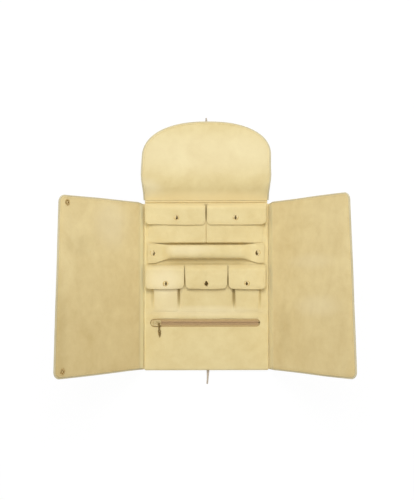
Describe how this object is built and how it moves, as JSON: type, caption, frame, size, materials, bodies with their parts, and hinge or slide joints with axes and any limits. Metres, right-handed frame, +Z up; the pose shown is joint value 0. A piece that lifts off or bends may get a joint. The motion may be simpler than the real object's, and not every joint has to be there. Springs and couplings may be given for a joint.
{
  "type": "leather jewellery case",
  "caption": "Folding leather jewellery case lying open, with a pocketed suede panel, snap flaps, padded ring bar, zip pocket, two raised side wings and an arched top flap",
  "frame": {"origin": "on the surface that the case stands on, under the middle of the open case measured over its wings and its top flap", "axes": "+X across the case towards the right wing, +Y from the zip towards the top flap, +Z up out of the lined inside"},
  "size_m": [0.403, 0.4003, 0.164],
  "materials": {
    "suede": "soft cream suede, fine nap",
    "leather": "smooth natural tan leather",
    "board": "plain stiff board",
    "foam": "thin cream padding",
    "brass": "polished brass",
    "zip_tape": "woven taupe tape",
    "lace": "thin greyish leather strip"
  },
  "bodies": {
    "panel": {"back_cover": "leather", "centre_board": "board", "centre_foam": "foam", "centre_lining": "suede", "fold_right": "suede", "fold_left": "suede", "fold_top": "suede", "pocket_upper_left": "suede", "pocket_upper_right": "suede", "pocket_middle_left": "suede", "pocket_middle_centre": "suede", "pocket_middle_right": "suede", "pocket_studs": "brass", "bar_studs": "brass", "bar_tab_left": "suede", "bar_tab_left_snap": "brass", "zip_bag": "foam", "zip_tape_upper": "zip_tape", "zip_tape_lower": "zip_tape", "zip_coil_upper": "zip_tape", "zip_coil_lower": "zip_tape", "zip_stops": "brass", "lace_long": "lace"},
    "right_spine": {"spine_right_cover": "leather", "spine_right_lining": "suede", "fold_wing_right": "suede"},
    "right_wing": {"wing_right_cover": "leather", "wing_right_board": "board", "wing_right_lining": "suede", "wing_right_studs": "brass"},
    "left_spine": {"spine_left_cover": "leather", "spine_left_lining": "suede", "fold_wing_left": "suede"},
    "left_wing": {"wing_left_cover": "leather", "wing_left_board": "board", "wing_left_lining": "suede", "wing_left_snaps": "brass"},
    "top_spine": {"spine_top_cover": "leather", "spine_top_lining": "suede", "fold_flap": "suede"},
    "top_flap": {"flap_cover": "leather", "flap_board": "board", "flap_lining": "suede", "lace_tab": "lace", "lace_flap": "lace"},
    "upper_left_flap": {"flap_upper_left": "suede", "snap_upper_left": "brass"},
    "upper_right_flap": {"flap_upper_right": "suede", "snap_upper_right": "brass"},
    "middle_left_flap": {"flap_middle_left": "suede", "snap_middle_left": "brass"},
    "middle_centre_flap": {"flap_middle_centre": "suede", "snap_middle_centre": "brass"},
    "middle_right_flap": {"flap_middle_right": "suede", "snap_middle_right": "brass"},
    "ring_bar": {"ring_bar_core": "foam", "ring_bar_cover": "suede", "ring_bar_snap": "brass"},
    "zip_slider": {"slider": "brass"},
    "zip_pull": {"slider_pull": "brass"}
  },
  "joints": [
    {"name": "right_spine_fold", "type": "hinge", "parent": "panel", "child": "right_spine", "pos_m": [0.09566, -0.06481, 0.0035], "axis": [0, -1, 0], "range_deg": [-54, 15]},
    {"name": "right_wing_fold", "type": "hinge", "parent": "right_spine", "child": "right_wing", "pos_m": [0.10024, -0.06481, 0.0206], "axis": [0, -1, 0], "range_deg": [0, 111]},
    {"name": "left_spine_fold", "type": "hinge", "parent": "panel", "child": "left_spine", "pos_m": [-0.09434, -0.06481, 0.0035], "axis": [0, 1, 0], "range_deg": [-54, 15]},
    {"name": "left_wing_fold", "type": "hinge", "parent": "left_spine", "child": "left_wing", "pos_m": [-0.10024, -0.06481, 0.02552], "axis": [0, 1, 0], "range_deg": [0, 111]},
    {"name": "top_spine_fold", "type": "hinge", "parent": "panel", "child": "top_spine", "pos_m": [0.00066, 0.06219, 0.0035], "axis": [1, 0, 0], "range_deg": [0, 55]},
    {"name": "top_flap_fold", "type": "hinge", "parent": "top_spine", "child": "top_flap", "pos_m": [0.00066, 0.08676, 0.02071], "axis": [1, 0, 0], "range_deg": [0, 133]},
    {"name": "upper_left_flap_fold", "type": "hinge", "parent": "panel", "child": "upper_left_flap", "pos_m": [-0.04584, 0.05919, 0.0082], "axis": [1, 0, 0], "range_deg": [-95, 0]},
    {"name": "upper_right_flap_fold", "type": "hinge", "parent": "panel", "child": "upper_right_flap", "pos_m": [0.04631, 0.05919, 0.0082], "axis": [1, 0, 0], "range_deg": [-95, 0]},
    {"name": "middle_left_flap_fold", "type": "hinge", "parent": "panel", "child": "middle_left_flap", "pos_m": [-0.06099, -0.03281, 0.0082], "axis": [1, 0, 0], "range_deg": [-85, 0]},
    {"name": "middle_centre_flap_fold", "type": "hinge", "parent": "panel", "child": "middle_centre_flap", "pos_m": [0.00066, -0.03281, 0.0082], "axis": [1, 0, 0], "range_deg": [-85, 0]},
    {"name": "middle_right_flap_fold", "type": "hinge", "parent": "panel", "child": "middle_right_flap", "pos_m": [0.06126, -0.03281, 0.0082], "axis": [1, 0, 0], "range_deg": [-85, 0]},
    {"name": "ring_bar_lift", "type": "hinge", "parent": "panel", "child": "ring_bar", "pos_m": [-0.06784, -0.01291, 0.0096], "axis": [0, 1, 0], "range_deg": [-85, 0]},
    {"name": "zip_slide", "type": "slide", "parent": "panel", "child": "zip_slider", "axis": [1, 0, 0], "range_m": [0, 0.1456]},
    {"name": "pull_swing", "type": "hinge", "parent": "zip_slider", "child": "zip_pull", "pos_m": [-0.06984, -0.12071, 0.0111], "axis": [1, 0, 0], "range_deg": [-150, 0]}
  ]
}
